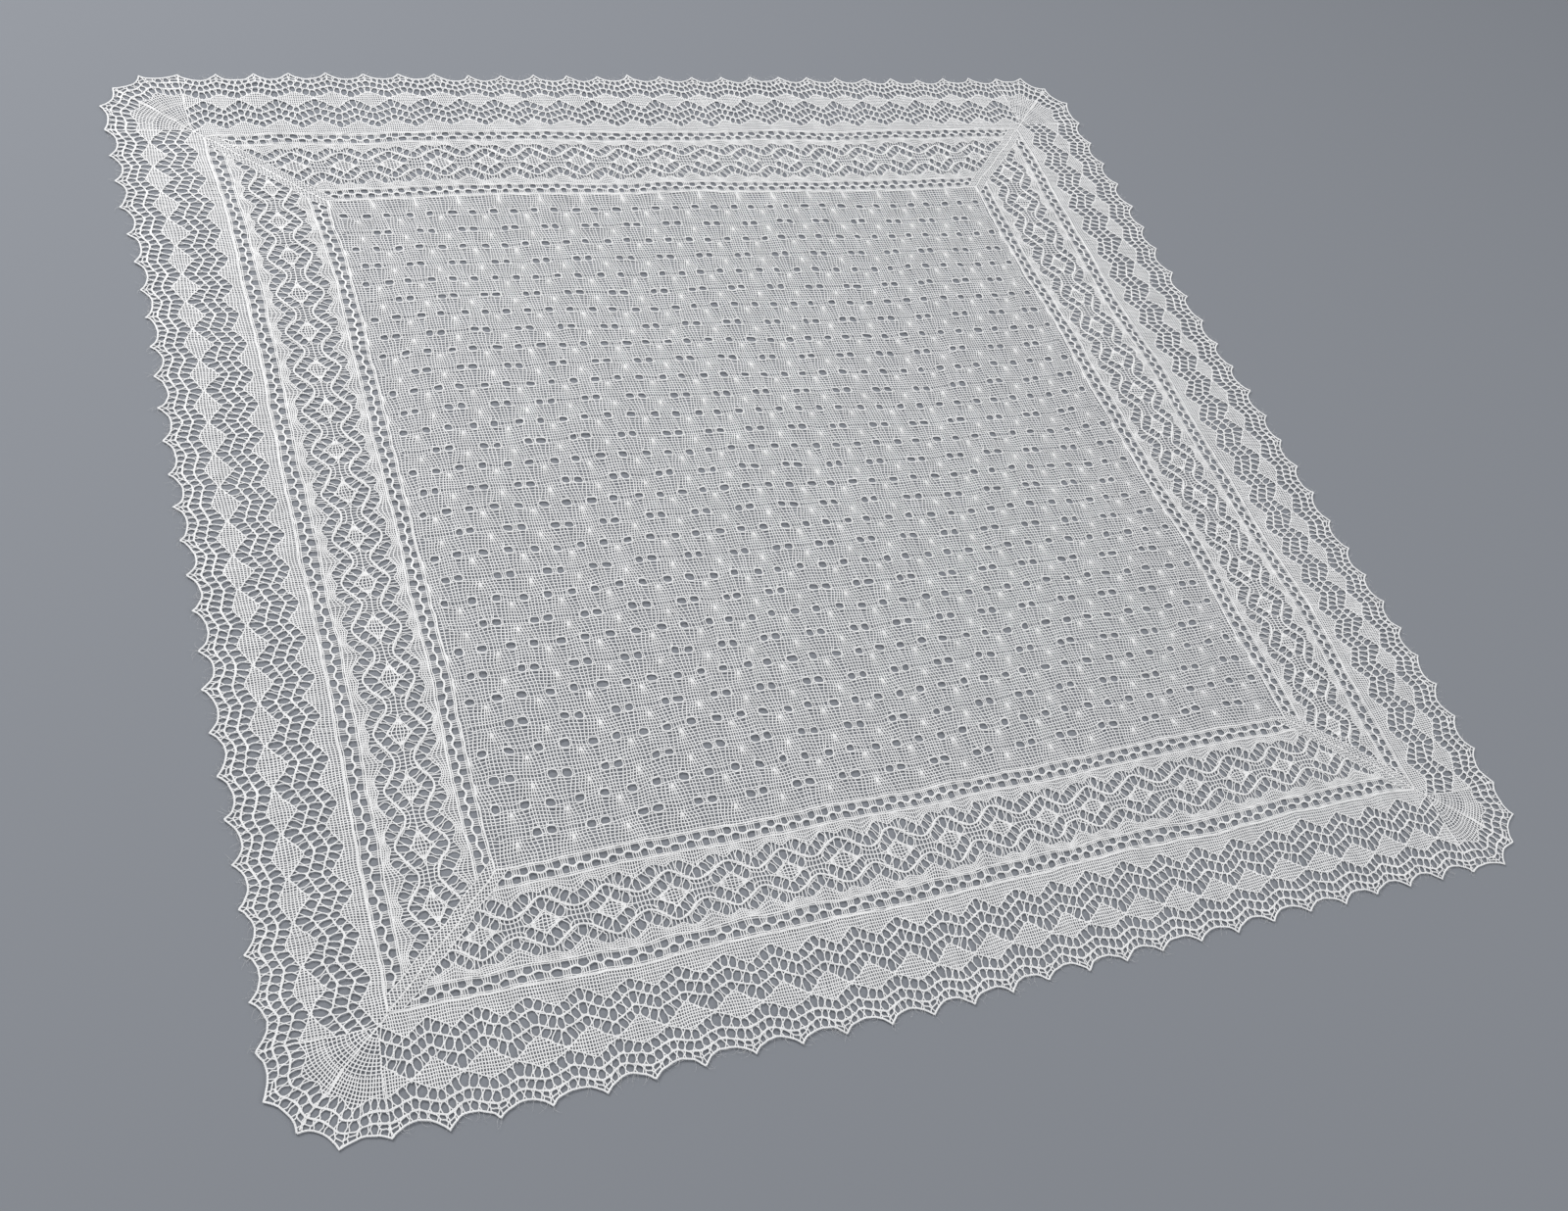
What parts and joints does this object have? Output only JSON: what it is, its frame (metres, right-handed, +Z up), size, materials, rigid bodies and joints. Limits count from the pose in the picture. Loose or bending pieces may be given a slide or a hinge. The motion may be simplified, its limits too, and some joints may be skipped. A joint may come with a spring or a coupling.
{
  "type": "lace shawl",
  "caption": "Square knitted lace shawl laid out flat, with a centre panel, mitred openwork borders and a scalloped lace edging.",
  "frame": {"origin": "under the middle of the shawl, on the surface it lies on", "axes": "+Z up from the surface, +Y towards the far side of the shawl, +X to its right side"},
  "size_m": [1.2912, 1.2912, 0.0012],
  "materials": {
    "centre_wool": "fine two-ply wool in a net of small stitches, dull with a soft halo",
    "insertion_wool": "fine two-ply wool in open lace, dull with a soft halo",
    "edging_wool": "fine two-ply wool in open lace with a thicker bound-off edge, dull with a soft halo"
  },
  "bodies": {
    "root": {"centre_panel": "centre_wool", "insertion_near": "insertion_wool", "insertion_right": "insertion_wool", "insertion_far": "insertion_wool", "insertion_left": "insertion_wool", "edging_near": "edging_wool", "edging_right": "edging_wool", "edging_far": "edging_wool", "edging_left": "edging_wool"}
  },
  "joints": []
}
